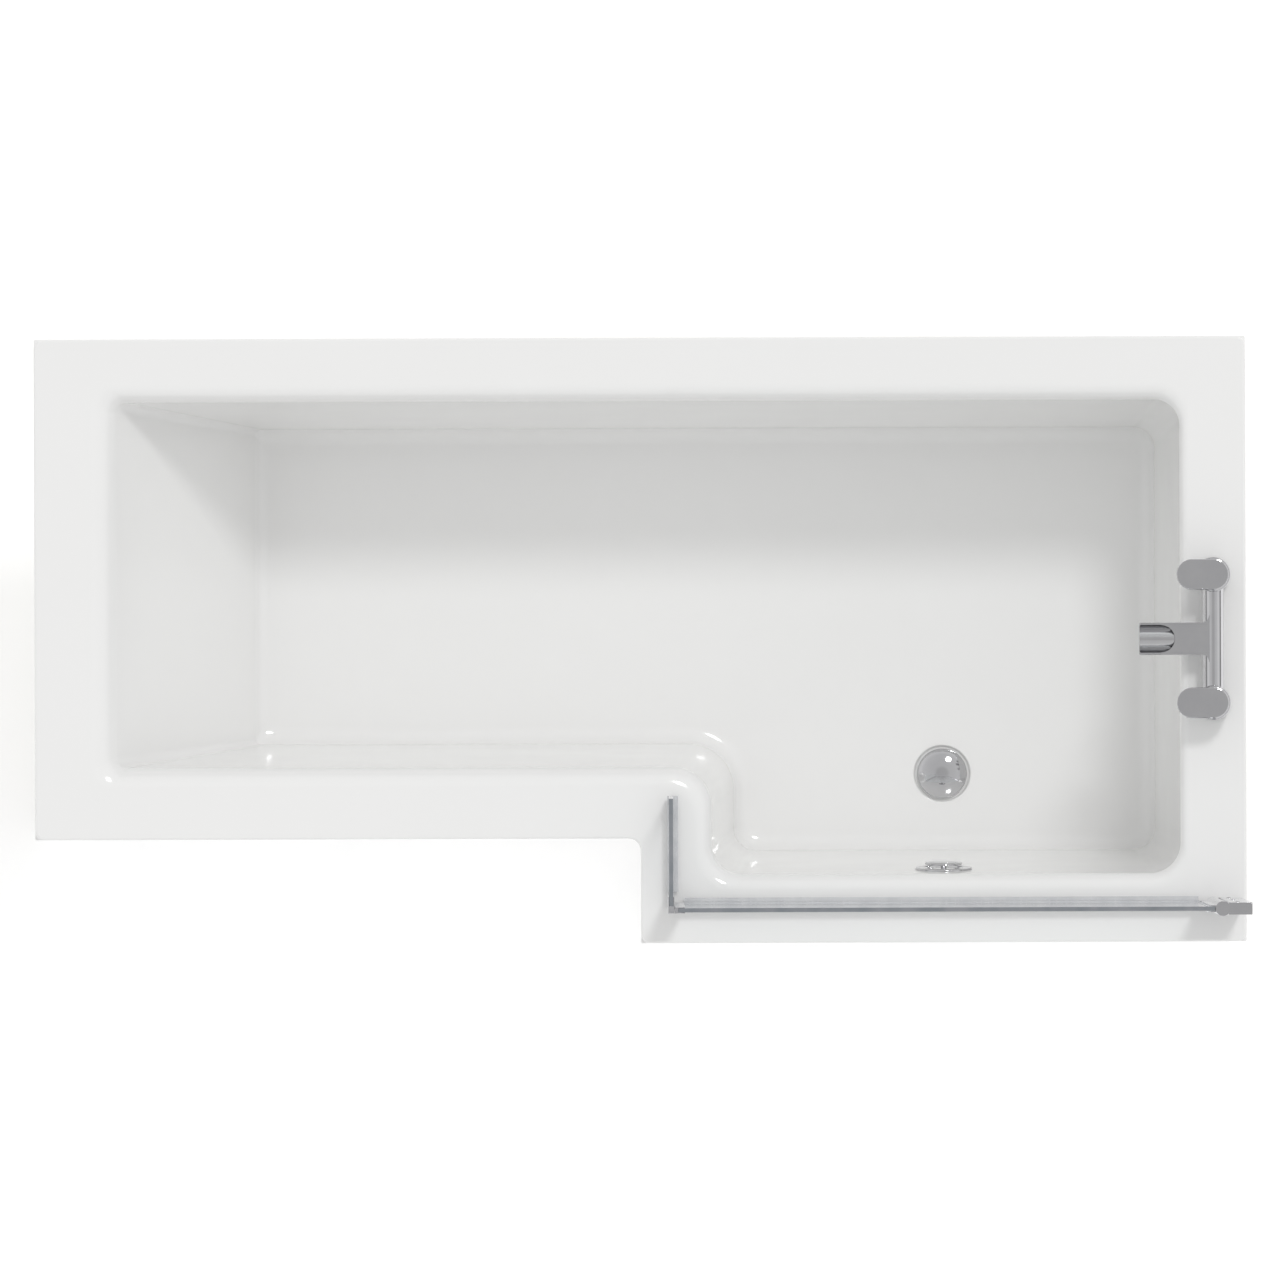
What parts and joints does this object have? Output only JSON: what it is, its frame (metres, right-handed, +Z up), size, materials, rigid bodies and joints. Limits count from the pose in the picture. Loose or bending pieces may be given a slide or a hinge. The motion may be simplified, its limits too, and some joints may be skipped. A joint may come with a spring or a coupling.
{
  "type": "l-shaped shower bath",
  "caption": "L-shaped white shower bath with a wider shower end, hinged glass screen with return panel, deck-mounted waterfall filler, click plug waste and overflow.",
  "frame": {"origin": "centre of the bath's footprint on the floor", "axes": "+X towards the tap end, +Y towards the back wall, +Z up"},
  "size_m": [1.7, 0.85, 1.983],
  "materials": {
    "acrylic": "gloss white acrylic",
    "chrome": "polished chrome",
    "bright_aluminium": "bright polished anodised",
    "glass": "clear polished",
    "clear_seal": "translucent clear",
    "brass": "machined",
    "rubber": "matt black",
    "white_plastic": "satin white",
    "black_plastic": "satin black",
    "zinc_steel": "zinc plated",
    "chipboard": "raw chipboard under resin",
    "timber": "sawn softwood"
  },
  "bodies": {
    "bath": {"base_board": "chipboard", "bath_shell": "acrylic", "floor_battens": "timber", "front_panel": "acrylic", "head_rail": "zinc_steel", "hinge_bottom_cap": "chrome", "hinge_housing": "bright_aluminium", "hinge_screws": "chrome", "hinge_top_cap": "chrome", "leg_feet": "black_plastic", "leg_nuts": "zinc_steel", "leg_studs": "zinc_steel", "middle_rail": "zinc_steel", "overflow_cap": "chrome", "overflow_elbow": "white_plastic", "overflow_flange": "chrome", "overflow_gasket": "rubber", "overflow_nuts": "white_plastic", "overflow_pipe": "white_plastic", "panel_screws": "chrome", "plug_cartridge": "brass", "plug_spring": "zinc_steel", "rail_screws": "zinc_steel", "rim_batten_back": "timber", "rim_batten_head": "timber", "rim_batten_shower": "timber", "rim_batten_side": "timber", "rim_batten_step": "timber", "tap_back_nuts": "brass", "tap_body": "chrome", "tap_cartridges": "brass", "tap_rail": "zinc_steel", "tap_seals": "rubber", "tap_tails": "brass", "tap_washers": "white_plastic", "trap_nut": "white_plastic", "trap_seal": "rubber", "wall_brackets": "zinc_steel", "wall_channel": "bright_aluminium", "waste_body": "white_plastic", "waste_flange": "chrome", "waste_top_seal": "rubber", "waste_trap": "white_plastic", "waste_under_seal": "rubber"},
    "screen": {"hinge_post": "bright_aluminium", "glazing_gasket": "clear_seal", "main_glass": "glass", "corner_profile_main": "bright_aluminium", "corner_profile_return": "bright_aluminium", "return_glass": "glass", "main_bottom_seal": "clear_seal", "return_bottom_seal": "clear_seal"},
    "plug": {"waste_plug": "chrome", "plug_seal": "rubber"},
    "hot_lever": {"tap_lever_hot": "chrome", "tap_spindle_hot": "brass", "tap_grub_screw_hot": "zinc_steel"},
    "cold_lever": {"tap_lever_cold": "chrome", "tap_spindle_cold": "brass", "tap_grub_screw_cold": "zinc_steel"}
  },
  "joints": [
    {"name": "screen_swing", "type": "hinge", "parent": "bath", "child": "screen", "pos_m": [0.8018, -0.372, 0.55], "axis": [0, 0, 1], "range_deg": [-60, 90]},
    {"name": "plug_lift", "type": "slide", "parent": "bath", "child": "plug", "axis": [0, 0, 1], "range_m": [0, 0.009], "deforming": ["plug_spring"]},
    {"name": "hot_lever_turn", "type": "hinge", "parent": "bath", "child": "hot_lever", "pos_m": [0.8036, 0.09, 0.6], "axis": [0, 0, 1], "range_deg": [-90, 0]},
    {"name": "cold_lever_turn", "type": "hinge", "parent": "bath", "child": "cold_lever", "pos_m": [0.8036, -0.09, 0.6], "axis": [0, 0, 1], "range_deg": [0, 90]}
  ]
}
